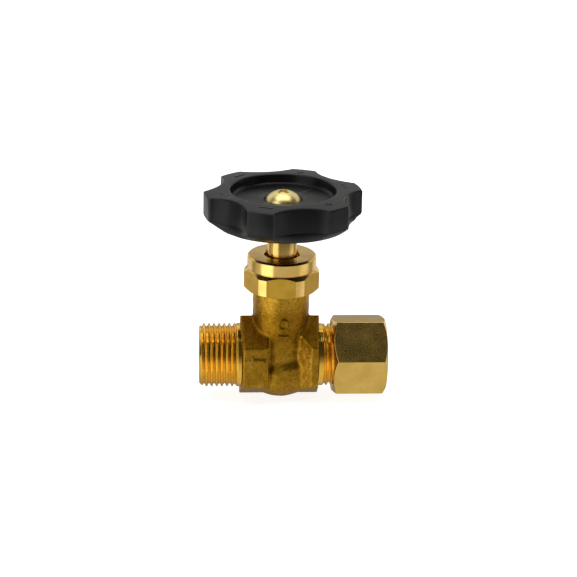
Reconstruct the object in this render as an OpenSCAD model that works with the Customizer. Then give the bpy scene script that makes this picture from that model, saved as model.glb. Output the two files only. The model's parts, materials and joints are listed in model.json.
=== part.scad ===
// Straight needle valve: male pipe thread outlet, compression nut inlet, rising stem, moulded handwheel.
// The origin is the centre of the outlet's end face. +X runs along the pipe axis to the inlet,
// and +Z is parallel to the stem, towards the handwheel.

/* [Body] */
// Outlet end face to the stem axis
outlet_len = 21.2; // [20.5:0.1:23]
// Stem axis to the inlet end face
inlet_len = 21.5; // [21:0.1:23]
// Width across flats of the forged hexagons
body_af = 19; // [18:0.5:20]
// Diameter of the round tower
tower_d = 14.4; // [14.2:0.1:15]
// Largest diameter of the rounded belly under the tower
belly_d = 17.8; // [17:0.1:18.5]
// Depth of the belly below the pipe axis
belly_depth = 11; // [10.5:0.1:12]

/* [Pipe threads] */
// Major diameter of both pipe threads
pipe_d = 16.662; // [16.5:0.001:16.8]
// Pitch of both pipe threads
pipe_pitch = 1.337; // [1.3:0.001:1.4]

/* [Tube connection] */
// Outside diameter of the tube that the inlet takes
tube_d = 10; // [9.5:0.1:10.5]
// Width across flats of the coupling nut
coupling_af = 19; // [19:0.5:22]
// Length of the coupling nut
coupling_len = 14; // [14:0.1:15]
// Angle of one of the coupling nut's corners, from the front towards the top
coupling_turn = 10.7; // [0:0.1:60]

/* [Stem and packing] */
// Diameter of the plain part of the stem
stem_d = 7.6; // [7.4:0.1:7.8]
// Major diameter of the stem thread
stem_thread_d = 8; // [7.9:0.1:8.2]
// Width across flats of the packing nut
packing_af = 18; // [17.5:0.1:18.5]
// Diameter of the packing nut's round collar
packing_collar_d = 17.8; // [17:0.1:18]
// Turn of the packing nut's front flat from the front towards +X
packing_turn = -4.1; // [-30:0.1:30]
// Height of each packing ring
ring_h = 1.6; // [1.4:0.1:1.7]

/* [Handwheel] */
// Diameter of the handwheel over its lobes
wheel_d = 40.5; // [38:0.5:44]
// Height of the handwheel's top above the pipe axis
wheel_top = 45.3; // [44.8:0.1:46]
// Number of lobes
lobes = 6; // [5:1:8]
// Angle of one lobe's middle, from +X towards the back
lobe_turn = 10.5; // [0:0.1:60]
// Diameter of the dish in the top
dish_d = 27; // [24:0.5:29]
// Depth of the dish
dish_depth = 2.4; // [2:0.1:2.6]
// Diameter of the screw's domed head
screw_head_d = 9.5; // [9:0.1:10]

/* [Hidden] */
$fn = 96;

// Small gaps
over = 0.5;             // how far a cut runs past the face that it opens
run = 0.05;             // radial clearance of a running fit
face_gap = 0.1;         // clearance between faces that turn on each other

// Pipe threads, with flanks of 55 degrees between them
flank_half = 27.5;
pipe_depth = 0.64 * pipe_pitch;
pipe_flat = pipe_pitch / 2 - pipe_depth * tan(flank_half);
pipe_root_r = pipe_d / 2 - pipe_depth;
outlet_crests = 7;
inlet_crests = 7;
inlet_crest_r = pipe_d / 2 - 0.17;  // the inlet thread's crests are a little under full size
first_crest = 1.0;      // end face to the middle of the first crest
end_r = pipe_root_r - 0.1;
end_slope = 0.92;
collar_rise = 0.4;
crest_flat_short = 0.12;

// Forged outline, measured from the stem axis
block_x0 = -10.6;
block_x1 = -3.2;
flange_x1 = 10;
flange_cone_x = 4.1;
flange_cone_r = 5.8;
flange_slope = 1.03;    // how much the cone widens for each millimetre along the pipe axis
flange_root = 3;        // how far the flange's round root reaches into the tower
corner_trim = 0.1;
belly_ledge = 1.6;
belly_wall = 4;
arrow_z = 1.8;
arrow_proud = 0.3;

// Passages, measured from the stem axis and the pipe axis
outlet_bore_r = 4.5;
outlet_bore_len = 10;
port_r = 1.9;
port_z = 0.8;
chamber_r = 3.5;
seat_z = -1.2;
seat_r = 1.6;
chamber_top = 2.8;
feed_r = 1.8;
feed_from = [9, 0, -1.5];
feed_to = [0.5, 0, -6.6];
inlet_bore_r = 3.5;
inlet_bore_x = 6.5;
socket_x = 13;
socket_r = tube_d / 2 + run;
seat_cone_len = 1.1;
seat_cone_r = 6.35;

// Stem, packing and gland, measured from the pipe axis
thread_r = stem_thread_d / 2;
stem_r = stem_d / 2;
fine_pitch = 1;
fine_depth = 0.61;
stem_z0 = 6;
stem_thread_z1 = 13.8;
stem_shoulder = 38;
stem_top = 41.5;
square = 5.6;
square_gap = 0.1;
packing_z0 = 15;
packing_r = 5.4;
washer_h = 1;
ring_in_r = stem_r + run;
follower_z0 = packing_z0 + washer_h + 3 * ring_h + face_gap;
follower_z1 = 25.8;
follower_flange_h = 1;
follower_flange_r = 6.6;
tower_top = 24.5;
gland_thread_r = 7;
gland_thread_z0 = 19.2;

// Needle and its snap ring
needle_shank_r = 2;
needle_tip_z = -1.6;
needle_tip_r = 0.3;
needle_cone_z = 4.15;
needle_cone_r = 2.4;
needle_head_r = 2.9;
needle_head_z = 5;
socket_top = 9.5;
snap_z0 = 8;
snap_h = 0.6;
snap_in_r = 1.6;
snap_out_r = 2.5;

// Packing nut
nut_z0 = 18.7;
nut_hex_h = 5.4;
nut_top = 28;
nut_corner_d = 19.5;
nut_roof = 2.1;
nut_hole_r = 4.55;
bevel = 0.4;

// Handwheel
wheel_wall = 6.5;
wheel_under = 2.5;      // height of the cone under the rim
wheel_under_in = 3.4;   // how far that cone runs in
crown_r = 14.6;         // the rim slopes down outside this radius
crown_drop = 0.4;
scallop_r = 11.5;       // radius of a scallop at the wheel's top
scallop_at = 28.04;
scallop_draft = 2;
wheel_edge = 0.5;
hub_z0 = 37.9;
hollow_r0 = 8.6;
hollow_r1 = 13.8;
hollow_top = 41;
rib_w = 1.2;
rib_rise = 0.3;         // how far the ribs stop short of the hub's face
insert_r = 5.4;
tap_r = 2;
tap_depth = 10;
washer_r = 4.4;
screw_washer_h = 0.5;
screw_dome_h = 2.8;
head_recess = 0.65;     // how far the screw's head sinks in the dish
head_z = wheel_top - dish_depth - head_recess;
insert_top = head_z - screw_washer_h;
screw_r = 1.95;
screw_len = 8;
recess_w = 1;
recess_len = 4;
recess_depth = 1.3;

// Coupling nut and olive, measured from the stem axis
coupling_x0 = 13.5;
coupling_thread_x1 = 22.9;
coupling_cone_r = 6.75;
coupling_hole_r = tube_d / 2 + 3 * run;
coupling_hole_x = 25;
coupling_chamfer = 30;
olive_x0 = 20.95;
olive_x1 = 24.3;
olive_edge_r = 5.45;
olive_crown_r = 6.25;
olive_crown_x0 = 22.2;
olive_crown_x1 = 22.9;

// Turns a shape made along Z so that it lies along X
module along_x() rotate([0, 90, 0]) children();

// Moves a shape from the stem axis to its place in the part
module at_stem() translate([outlet_len, 0, 0]) children();

// A hexagonal bar of width af across its flats, from z0 up
module hex_bar(af, z0, h, turn = 0)
    translate([0, 0, z0])
        rotate([0, 0, turn])
            cylinder(r = af / sqrt(3), h = h, $fn = 6);

// The points of a row of thread ridges between two radii
function ridges(root_r, crest_r, pitch, flat, count, start) = [
    for (i = [0 : count - 1], k = [0 : 3])
        let (
            middle = start + i * pitch,
            half_root = (pitch - flat) / 2,
            offset_z = [-half_root, -flat / 2, flat / 2, half_root][k]
        )
        [k == 0 || k == 3 ? root_r : crest_r, middle + offset_z]
];

// A pipe thread from its end face to its shoulder, with a chamfered end and a plain run-out
module pipe_stud(crest_r, length, count) {
    threads = ridges(pipe_root_r, crest_r, pipe_pitch, pipe_flat, count, first_crest);
    collar_z = first_crest + (count - 0.5) * pipe_pitch;
    rotate_extrude()
        polygon(concat(
            [[0, 0], [end_r, 0]],
            [for (p = threads) [min(p[0], end_r + p[1] * end_slope), p[1]]],
            [[crest_r, collar_z + collar_rise], [crest_r, length], [0, length]]
        ));
}

// The forged belly: a ledge under the tower, a short wall and a rounded bottom
module belly() {
    belly_r = belly_d / 2;
    rotate_extrude()
        polygon(concat(
            [[0, over], [tower_d / 2, over], [tower_d / 2, 0], [belly_r, -belly_ledge]],
            [for (a = [0 : 6 : 90]) [belly_r * cos(a), -belly_wall - (belly_depth - belly_wall) * sin(a)]]
        ));
}

// A forged hexagon with its corners trimmed, between two places along the pipe axis
module forged_hex(x0, x1)
    along_x()
        intersection() {
            hex_bar(body_af, x0, x1 - x0);
            translate([0, 0, x0])
                cylinder(r = body_af / sqrt(3) - corner_trim, h = x1 - x0);
        }

// The inlet flange: a hexagon whose back is turned to a cone that runs into the tower
module inlet_flange() {
    flange_rise = flange_x1 - flange_cone_x;
    intersection() {
        forged_hex(flange_cone_x - flange_root, flange_x1);
        along_x()
            rotate_extrude()
                polygon([
                    [0, flange_cone_x - flange_root], [flange_cone_r, flange_cone_x - flange_root],
                    [flange_cone_r, flange_cone_x],
                    [flange_cone_r + flange_rise, flange_cone_x + flange_rise / flange_slope],
                    [flange_cone_r + flange_rise, flange_x1 + over], [0, flange_x1 + over]
                ]);
    }
}

// The raised flow arrow on the front of the block, pointing to the outlet
module flow_arrow() {
    length = 5.6;
    head = 2.3;
    half_head = 1.5;
    half_shaft = 0.6;
    translate([(block_x0 + block_x1) / 2 - length / 2, -body_af / 2 + over, arrow_z])
        rotate([90, 0, 0])
            linear_extrude(height = arrow_proud + over)
                polygon([
                    [0, 0], [head, half_head], [head, half_shaft], [length, half_shaft],
                    [length, -half_shaft], [head, -half_shaft], [head, -half_head]
                ]);
}

// The tower with the gland thread at its top
module tower()
    rotate_extrude()
        polygon(concat(
            [[0, 0], [tower_d / 2, 0], [tower_d / 2, gland_thread_z0 - 1]],
            [[gland_thread_r - fine_depth, gland_thread_z0 - 0.6]],
            ridges(gland_thread_r - fine_depth, gland_thread_r, fine_pitch, crest_flat_short, 5,
                   gland_thread_z0 + 0.4),
            [[gland_thread_r - fine_depth, tower_top], [0, tower_top]]
        ));

// The drilled way from the inlet to the underside of the seat
module feed() {
    run_vector = feed_to - feed_from;
    translate(feed_from)
        rotate([0, atan2(run_vector[0], run_vector[2]), 0])
            cylinder(r = feed_r, h = norm(run_vector));
}

module passages() {
    // Stem axis: seat, chamber, stem thread and packing
    translate([0, 0, feed_to[2]])
        cylinder(r = seat_r, h = seat_z - feed_to[2] + over);
    translate([0, 0, seat_z])
        cylinder(r = chamber_r, h = chamber_top - seat_z + over);
    translate([0, 0, chamber_top])
        cylinder(r = thread_r + run, h = packing_z0 - chamber_top + over);
    translate([0, 0, packing_z0])
        cylinder(r = packing_r, h = tower_top - packing_z0 + over);
    // Inlet: tube socket with its cone, bore and feed
    along_x() {
        translate([0, 0, inlet_bore_x])
            cylinder(r = inlet_bore_r, h = socket_x - inlet_bore_x + over);
        translate([0, 0, socket_x])
            cylinder(r = socket_r, h = inlet_len - socket_x + over);
        translate([0, 0, inlet_len - seat_cone_len])
            cylinder(r1 = socket_r, r2 = seat_cone_r, h = seat_cone_len);
        translate([0, 0, inlet_len])
            cylinder(r = seat_cone_r, h = over);
    }
    feed();
    // Outlet: port from the chamber, then the wide bore
    translate([0, 0, port_z])
        mirror([1, 0, 0])
            along_x()
                cylinder(r = port_r, h = outlet_len - outlet_bore_len + over);
    translate([-outlet_len - over, 0, 0])
        along_x()
            cylinder(r = outlet_bore_r, h = outlet_bore_len + over);
}

module valve_body()
    color("darkgoldenrod")
        at_stem()
            difference() {
                union() {
                    translate([-outlet_len, 0, 0])
                        along_x()
                            pipe_stud(pipe_d / 2, outlet_len + block_x0 + over, outlet_crests);
                    forged_hex(block_x0, block_x1);
                    flow_arrow();
                    tower();
                    belly();
                    inlet_flange();
                    translate([inlet_len, 0, 0])
                        mirror([1, 0, 0])
                            along_x()
                                pipe_stud(inlet_crest_r, inlet_len - flange_x1 + over, inlet_crests);
                }
                passages();
            }

// A flat ring on the stem axis
module ring(in_r, out_r, z0, h)
    at_stem()
        translate([0, 0, z0])
            difference() {
                cylinder(r = out_r, h = h);
                translate([0, 0, -over])
                    cylinder(r = in_r, h = h + 2 * over);
            }

module packing_washer()
    color("gold") ring(ring_in_r, packing_r, packing_z0, washer_h);

module packing_ring(i)
    color("dimgray") ring(ring_in_r, packing_r, packing_z0 + washer_h + i * ring_h, ring_h);

module needle()
    color("silver")
        at_stem()
            rotate_extrude()
                polygon([
                    [0, needle_tip_z], [needle_tip_r, needle_tip_z], [needle_cone_r, needle_cone_z],
                    [needle_cone_r, needle_head_z], [needle_head_r, needle_head_z],
                    [needle_head_r, stem_z0 - face_gap], [needle_shank_r, stem_z0 - face_gap],
                    [needle_shank_r, snap_z0], [snap_in_r, snap_z0],
                    [snap_in_r, snap_z0 + snap_h], [needle_shank_r, snap_z0 + snap_h],
                    [needle_shank_r, socket_top - 2 * face_gap], [0, socket_top - 2 * face_gap]
                ]);

// Snap ring in the stem's groove, round the needle's groove
module needle_ring()
    color("gray")
        ring(snap_in_r + run, snap_out_r, snap_z0 + face_gap, snap_h - 2 * face_gap);

module stem()
    color("goldenrod")
        at_stem()
            difference() {
                union() {
                    rotate_extrude()
                        polygon(concat(
                            [[0, stem_z0], [thread_r - fine_depth, stem_z0]],
                            ridges(thread_r - fine_depth, thread_r, fine_pitch, crest_flat_short, 7,
                                   stem_z0 + 0.6),
                            [[stem_r, stem_thread_z1], [stem_r, stem_shoulder], [0, stem_shoulder]]
                        ));
                    intersection() {
                        translate([-square / 2, -square / 2, stem_shoulder - over])
                            cube([square, square, stem_top - stem_shoulder + over]);
                        translate([0, 0, stem_shoulder - over])
                            cylinder(r = stem_r, h = stem_top - stem_shoulder + over);
                    }
                }
                translate([0, 0, stem_z0 - over])
                    cylinder(r = needle_shank_r + run, h = socket_top - stem_z0 + over);
                translate([0, 0, snap_z0 + face_gap])
                    cylinder(r = snap_out_r, h = snap_h - 2 * face_gap);
                translate([0, 0, stem_top - tap_depth])
                    cylinder(r = tap_r, h = tap_depth + over);
            }

module gland_follower()
    color("goldenrod")
        at_stem()
            difference() {
                union() {
                    translate([0, 0, follower_z0])
                        cylinder(r = packing_r - run, h = follower_z1 - follower_z0);
                    translate([0, 0, follower_z1 - follower_flange_h])
                        cylinder(r = follower_flange_r, h = follower_flange_h);
                }
                translate([0, 0, follower_z0 - over])
                    cylinder(r = ring_in_r, h = follower_z1 - follower_z0 + 2 * over);
            }

// Hexagon and collar turned from one bar, with a flat towards the front
module packing_nut()
    color("gold")
        at_stem()
            difference() {
                union() {
                    intersection() {
                        hex_bar(packing_af, nut_z0, nut_hex_h, packing_turn);
                        rotate_extrude()
                            polygon([
                                [0, nut_z0], [packing_af / 2 - 0.1, nut_z0], [nut_corner_d / 2, nut_z0 + 0.5],
                                [nut_corner_d / 2, nut_z0 + nut_hex_h - 0.7],
                                [packing_collar_d / 2, nut_z0 + nut_hex_h], [0, nut_z0 + nut_hex_h]
                            ]);
                    }
                    rotate_extrude()
                        polygon([
                            [0, nut_z0 + nut_hex_h], [packing_collar_d / 2, nut_z0 + nut_hex_h],
                            [packing_collar_d / 2, nut_top - bevel], [packing_collar_d / 2 - bevel, nut_top],
                            [0, nut_top]
                        ]);
                }
                translate([0, 0, nut_z0 - over])
                    cylinder(r = gland_thread_r + run, h = nut_top - nut_roof - nut_z0 + over);
                translate([0, 0, nut_z0 - over])
                    cylinder(r = tower_d / 2 + 0.2, h = over + 0.6);
                translate([0, 0, nut_top - nut_roof - over])
                    cylinder(r = nut_hole_r, h = nut_roof + 2 * over);
            }

// Moulded wheel: scalloped rim, dished top, hollow underside with ribs, hub round its insert
module handwheel() {
    z0 = wheel_top - wheel_wall - wheel_under;
    scallop_h = wheel_top - z0 + 2 * over;
    color([0.12, 0.12, 0.13])
        at_stem()
            difference() {
                rotate_extrude()
                    polygon([
                        [0, z0], [wheel_d / 2 - wheel_under_in, z0], [wheel_d / 2, wheel_top - wheel_wall],
                        [wheel_d / 2, wheel_top - crown_drop - wheel_edge],
                        [wheel_d / 2 - wheel_edge, wheel_top - crown_drop],
                        [crown_r, wheel_top], [0, wheel_top]
                    ]);
                for (i = [0 : lobes - 1])
                    rotate([0, 0, lobe_turn + (i + 0.5) * 360 / lobes])
                        translate([scallop_at, 0, z0 - over])
                            cylinder(r1 = scallop_r - (scallop_h - over) * tan(scallop_draft),
                                     r2 = scallop_r + over * tan(scallop_draft), h = scallop_h);
                translate([0, 0, wheel_top - dish_depth])
                    cylinder(r = dish_d / 2, h = dish_depth + over);
                difference() {
                    translate([0, 0, z0 - over])
                        cylinder(r = hollow_r1, h = hollow_top - z0 + over);
                    translate([0, 0, hub_z0])
                        cylinder(r = hollow_r0, h = hollow_top);
                    for (i = [0 : lobes - 1])
                        rotate([0, 0, lobe_turn + i * 360 / lobes])
                            translate([0, -rib_w / 2, hub_z0 + rib_rise])
                                cube([wheel_d / 2, rib_w, hollow_top]);
                }
                translate([0, 0, z0 - over])
                    cylinder(r = insert_r, h = insert_top - z0 + over);
                translate([0, 0, insert_top - over])
                    cylinder(r = screw_head_d / 2 + 3 * run, h = wheel_top);
            }
}

// Square insert moulded in the hub
module wheel_insert()
    color("goldenrod")
        at_stem()
            difference() {
                translate([0, 0, stem_shoulder])
                    cylinder(r = insert_r, h = insert_top - stem_shoulder);
                translate([-square / 2 - square_gap, -square / 2 - square_gap, stem_shoulder - over])
                    cube([square + 2 * square_gap, square + 2 * square_gap, wheel_top]);
            }

module wheel_washer()
    color("silver") ring(screw_r + 0.2, washer_r, insert_top, screw_washer_h);

// Domed screw with a cross recess
module wheel_screw() {
    head_r = screw_head_d / 2;
    dome_r = (head_r * head_r + screw_dome_h * screw_dome_h) / (2 * screw_dome_h);
    color("gold")
        at_stem()
            difference() {
                union() {
                    intersection() {
                        translate([0, 0, head_z + screw_dome_h - dome_r])
                            sphere(r = dome_r);
                        translate([0, 0, head_z])
                            cylinder(r = head_r - 0.1, h = screw_dome_h + over);
                    }
                    translate([0, 0, head_z - screw_len])
                        cylinder(r = screw_r, h = screw_len + over);
                }
                for (turn = [0, 90])
                    rotate([0, 0, turn + 45])
                        translate([-recess_len / 2, -recess_w / 2, head_z + screw_dome_h - recess_depth])
                            cube([recess_len, recess_w, recess_depth + over]);
            }
}

module olive()
    color("gold")
        at_stem()
            along_x()
                rotate_extrude()
                    polygon([
                        [socket_r, olive_x0], [olive_edge_r, olive_x0], [olive_crown_r, olive_crown_x0],
                        [olive_crown_r, olive_crown_x1], [olive_edge_r, olive_x1], [socket_r, olive_x1]
                    ]);

// Compression nut, chamfered at both ends, threaded over the inlet stud
module coupling_nut() {
    end_face_r = coupling_af / 2 - 0.2;
    outer_r = coupling_af / sqrt(3) + 0.2;
    drop = (outer_r - end_face_r) * tan(coupling_chamfer);
    x1 = coupling_x0 + coupling_len;
    color("gold")
        at_stem()
            along_x()
                difference() {
                    intersection() {
                        hex_bar(coupling_af, coupling_x0, coupling_len, 90 - coupling_turn);
                        rotate_extrude()
                            polygon([
                                [0, coupling_x0], [end_face_r, coupling_x0],
                                [outer_r, coupling_x0 + drop], [outer_r, x1 - drop],
                                [end_face_r, x1], [0, x1]
                            ]);
                    }
                    translate([0, 0, coupling_x0 - over])
                        cylinder(r = inlet_crest_r + run, h = coupling_thread_x1 - coupling_x0 + over);
                    translate([0, 0, coupling_thread_x1])
                        cylinder(r1 = coupling_cone_r, r2 = coupling_hole_r,
                                 h = coupling_hole_x - coupling_thread_x1);
                    translate([0, 0, coupling_hole_x - over])
                        cylinder(r = coupling_hole_r, h = x1 - coupling_hole_x + 2 * over);
                }
}

valve_body();
packing_washer();
packing_ring(0);  // packing_ring_1
packing_ring(1);  // packing_ring_2
packing_ring(2);  // packing_ring_3
needle();
needle_ring();
stem();
gland_follower();
packing_nut();
handwheel();
wheel_insert();
wheel_washer();
wheel_screw();
olive();
coupling_nut();
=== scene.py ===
"""A brass needle valve with a black handwheel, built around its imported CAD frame.

Lengths are in millimetres in the making functions, which return meshes in metres.
The stem axis is vertical, the pipe axis is X, and the origin is the centre of the outlet's end face.
"""
import functools
import json
import math
import bmesh
import bpy
import numpy as np
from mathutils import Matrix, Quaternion, Vector


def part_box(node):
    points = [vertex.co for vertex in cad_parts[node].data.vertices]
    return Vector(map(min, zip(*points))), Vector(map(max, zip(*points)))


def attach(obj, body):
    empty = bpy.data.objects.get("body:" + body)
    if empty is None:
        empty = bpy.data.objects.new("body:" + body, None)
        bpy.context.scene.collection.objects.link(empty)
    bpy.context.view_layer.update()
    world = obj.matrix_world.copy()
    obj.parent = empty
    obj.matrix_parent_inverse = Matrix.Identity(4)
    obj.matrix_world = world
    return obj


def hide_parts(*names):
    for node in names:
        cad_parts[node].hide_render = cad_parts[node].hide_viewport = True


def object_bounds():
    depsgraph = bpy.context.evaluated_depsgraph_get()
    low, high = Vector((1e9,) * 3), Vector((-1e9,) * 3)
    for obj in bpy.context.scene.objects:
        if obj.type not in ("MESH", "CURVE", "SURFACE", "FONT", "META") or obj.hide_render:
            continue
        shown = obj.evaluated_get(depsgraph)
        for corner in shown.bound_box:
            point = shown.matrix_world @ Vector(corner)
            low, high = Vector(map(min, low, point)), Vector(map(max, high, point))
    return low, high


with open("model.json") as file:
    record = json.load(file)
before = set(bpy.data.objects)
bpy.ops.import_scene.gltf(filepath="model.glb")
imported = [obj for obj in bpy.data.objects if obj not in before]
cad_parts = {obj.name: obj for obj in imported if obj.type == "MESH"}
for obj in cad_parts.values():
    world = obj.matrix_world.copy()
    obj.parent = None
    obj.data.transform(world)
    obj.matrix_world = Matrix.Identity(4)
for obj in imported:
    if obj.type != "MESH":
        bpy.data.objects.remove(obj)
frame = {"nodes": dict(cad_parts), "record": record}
cad_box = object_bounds()

MM = 0.001
TAU = 2 * math.pi


def mm_box(node):
    """A CAD node's lowest and highest corners, in millimetres."""
    low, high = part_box(node)
    return low / MM, high / MM


body_low, body_high = mm_box("valve_body")
stem_low, stem_high = mm_box("stem")
nut_low, nut_high = mm_box("packing_nut")
coupling_low, coupling_high = mm_box("coupling_nut")
wheel_low, wheel_high = mm_box("handwheel")
screw_low, screw_high = mm_box("wheel_screw")
insert_low, insert_high = mm_box("wheel_insert")
STEM_X = (stem_low.x + stem_high.x) / 2
WHEEL_TOP = wheel_high.z
WHEEL_UNDER = wheel_low.z
INLET_X = body_high.x
TOWER_TOP = body_high.z
RADIUS = {m["name"]: m["dims"]["r_mm"] for m in frame["record"]["mounts"]}
OUTLET_BORE_R, SOCKET_R, THREAD_R = RADIUS["outlet_port"], RADIUS["tube_socket"], RADIUS["outlet_thread"]
INLET_CREST_R = THREAD_R - 0.17
PACKING_BORE_R = 5.4
SEAT_CONE_R = 6.35
PIPE_PITCH, FINE_PITCH = 1.337, 1.0


# ---------------------------------------------------------------- camera

def make_camera():
    """The photograph's view: its aim, angle, distance and slight roll."""
    aim = Vector((STEM_X + 1.87, 0, 18.4)) * MM
    azimuth, elevation, roll, distance = math.radians(-4.1), math.radians(20.1), math.radians(1.26), 0.466
    away = Vector((
        math.sin(azimuth) * math.cos(elevation),
        -math.cos(azimuth) * math.cos(elevation),
        math.sin(elevation),
    ))
    data = bpy.data.cameras.new("camera")
    data.lens = 112.2
    data.sensor_width = 36
    data.clip_start = 0.01
    camera = bpy.data.objects.new("camera", data)
    camera.location = aim + away * distance
    camera.rotation_euler = (away.to_track_quat("Z", "Y") @ Quaternion((0, 0, 1), roll)).to_euler()
    bpy.context.scene.collection.objects.link(camera)
    bpy.context.scene.camera = camera


make_camera()


# ---------------------------------------------------------------- mesh helpers

def new_object(name, points, faces, smooth=True):
    """A mesh object from points in millimetres."""
    mesh = bpy.data.meshes.new(name)
    mesh.from_pydata([tuple(p) for p in np.asarray(points, float) * MM], [], [tuple(f) for f in faces])
    mesh.validate()
    mesh.update()
    if smooth:
        mesh.shade_smooth()
    obj = bpy.data.objects.new(name, mesh)
    bpy.context.scene.collection.objects.link(obj)
    return obj


def ring_faces(rows, columns):
    """Quads of a grid whose columns and rows both go round."""
    faces = []
    for i in range(rows):
        a, b = i * columns, ((i + 1) % rows) * columns
        for j in range(columns):
            k = (j + 1) % columns
            faces.append((a + j, a + k, b + k, b + j))
    return faces


def to_z(points):
    """Points made round the Z axis, moved to the stem axis."""
    return points + np.array([STEM_X, 0, 0])


def to_x(points):
    """Points made round the Z axis, turned so that their axis is the pipe axis."""
    return np.stack([points[:, 2], points[:, 0], points[:, 1]], axis=1)


def full_turn(columns):
    return np.arange(columns) * TAU / columns


def ring_solid(name, angles, rows, place):
    """A closed ring shape. rows holds one (radius, height) a row; either can be an array, one value an angle."""
    grid = []
    for radius, height in rows:
        radius = np.broadcast_to(np.asarray(radius, float), angles.shape)
        height = np.broadcast_to(np.asarray(height, float), angles.shape)
        grid.append(np.stack([radius * np.cos(angles), radius * np.sin(angles), height], axis=1))
    obj = new_object(name, place(np.concatenate(grid)), ring_faces(len(rows), len(angles)))
    outward(obj)
    return obj


def outward(obj):
    """Makes every face look outwards."""
    work = bmesh.new()
    work.from_mesh(obj.data)
    bmesh.ops.recalc_face_normals(work, faces=work.faces)
    work.to_mesh(obj.data)
    work.free()
    obj.data.update()


def bevelled(obj, width):
    modifier = obj.modifiers.new("bevel", "BEVEL")
    modifier.width = width * MM
    modifier.segments = 2
    modifier.limit_method = "ANGLE"
    modifier.angle_limit = math.radians(22)
    modifier.harden_normals = True


# ---------------------------------------------------------------- solids from distance fields

def smooth_max(a, b, k):
    """The larger of two distances, with the crease between them rounded over a width k."""
    h = np.clip(0.5 + 0.5 * (a - b) / k, 0, 1)
    return b * (1 - h) + a * h + k * h * (1 - h)


def smooth_min(a, b, k):
    return -smooth_max(-a, -b, k)


CORNERS = [(i, j, k) for i in (0, 1) for j in (0, 1) for k in (0, 1)]
EDGES = [(a, b) for a in CORNERS for b in CORNERS if a < b and sum(abs(p - q) for p, q in zip(a, b)) == 1]


def field_mesh(name, field, low, step):
    """The surface where a sampled distance field is zero, one point in each cell that the surface crosses."""
    inside = field < 0
    shape = tuple(n - 1 for n in field.shape)
    count = np.zeros(shape, np.int8)
    for i, j, k in CORNERS:
        count += inside[i:i + shape[0], j:j + shape[1], k:k + shape[2]]
    active = (count > 0) & (count < 8)
    cells = np.argwhere(active)
    ids = np.full(shape, -1, np.int64)
    ids[active] = np.arange(len(cells))
    total = np.zeros((len(cells), 3))
    hits = np.zeros(len(cells))
    for a, b in EDGES:
        va = field[tuple((cells + a).T)]
        vb = field[tuple((cells + b).T)]
        cross = (va < 0) != (vb < 0)
        t = np.where(cross, va / np.where(cross, va - vb, 1), 0)
        point = np.array(a, float) + t[:, None] * (np.array(b, float) - np.array(a, float))
        total += point * cross[:, None]
        hits += cross
    points = cells + total / hits[:, None]
    faces = []
    for axis in range(3):
        u, v = [d for d in range(3) if d != axis]
        first = np.moveaxis(inside, axis, 0)[:-1]
        second = np.moveaxis(inside, axis, 0)[1:]
        change = np.argwhere(first != second)
        out = np.moveaxis(inside, axis, 0)[tuple(change.T)]
        place = np.zeros_like(change)
        place[:, axis] = change[:, 0]
        place[:, u] = change[:, 1]
        place[:, v] = change[:, 2]
        quad = []
        for du, dv in ((-1, -1), (0, -1), (0, 0), (-1, 0)):
            cell = place.copy()
            cell[:, u] += du
            cell[:, v] += dv
            quad.append(ids[tuple(cell.T)])
        quad = np.stack(quad, axis=1)
        flip = out if axis != 1 else ~out
        quad[~flip] = quad[~flip][:, ::-1]
        faces.append(quad)
    faces = np.concatenate(faces)
    for _ in range(2):
        points = onto_surface(field, spread_out(points, faces))
    return new_object(name, np.asarray(low) + step * points, faces.tolist())


def spread_out(points, faces):
    """Move each point half way to the mean of its neighbours, so that no points stay crowded together."""
    total = np.zeros_like(points)
    hits = np.zeros(len(points))
    for side in (-1, 1):
        np.add.at(total, faces.ravel(), points[np.roll(faces, side, axis=1).ravel()])
        np.add.at(hits, faces.ravel(), 1)
    return 0.5 * points + 0.5 * total / hits[:, None]


def onto_surface(field, points):
    """Move points, in grid units, back to the field's zero surface."""
    cell = np.clip(points.astype(int), 0, np.array(field.shape) - 2)
    part = points - cell
    value = np.zeros(len(points))
    slope = np.zeros_like(points)
    for corner in CORNERS:
        sample = field[tuple((cell + corner).T)]
        share = np.where(np.array(corner) == 1, part, 1 - part)
        value += sample * share.prod(axis=1)
        for axis in range(3):
            others = share[:, [d for d in range(3) if d != axis]].prod(axis=1)
            slope[:, axis] += (1 if corner[axis] else -1) * sample * others
    shift = -value[:, None] * slope / (np.square(slope).sum(axis=1)[:, None] + 1e-9)
    return points + np.clip(shift, -0.5, 0.5)


def sample_space(low, high, step):
    """Coordinates of a block of points, a step apart."""
    axes = [np.arange(a, b + step, step, dtype=np.float32) for a, b in zip(low, high)]
    return np.meshgrid(*axes, indexing="ij")


def polygon_distance(x, y, points):
    """Signed distance to a closed polygon in a plane."""
    best = np.full(x.shape, 1e9, np.float32)
    inside = np.zeros(x.shape, bool)
    for i, (ax, ay) in enumerate(points):
        bx, by = points[i - 1]
        ex, ey = bx - ax, by - ay
        wx, wy = x - ax, y - ay
        t = np.clip((wx * ex + wy * ey) / (ex * ex + ey * ey), 0, 1)
        best = np.minimum(best, np.hypot(wx - ex * t, wy - ey * t))
        crosses = (ay > y) != (by > y)
        side = wx < ex * wy / (ey if ey else 1e-9)
        inside ^= crosses & side
    return np.where(inside, -best, best)


# ---------------------------------------------------------------- materials

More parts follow.
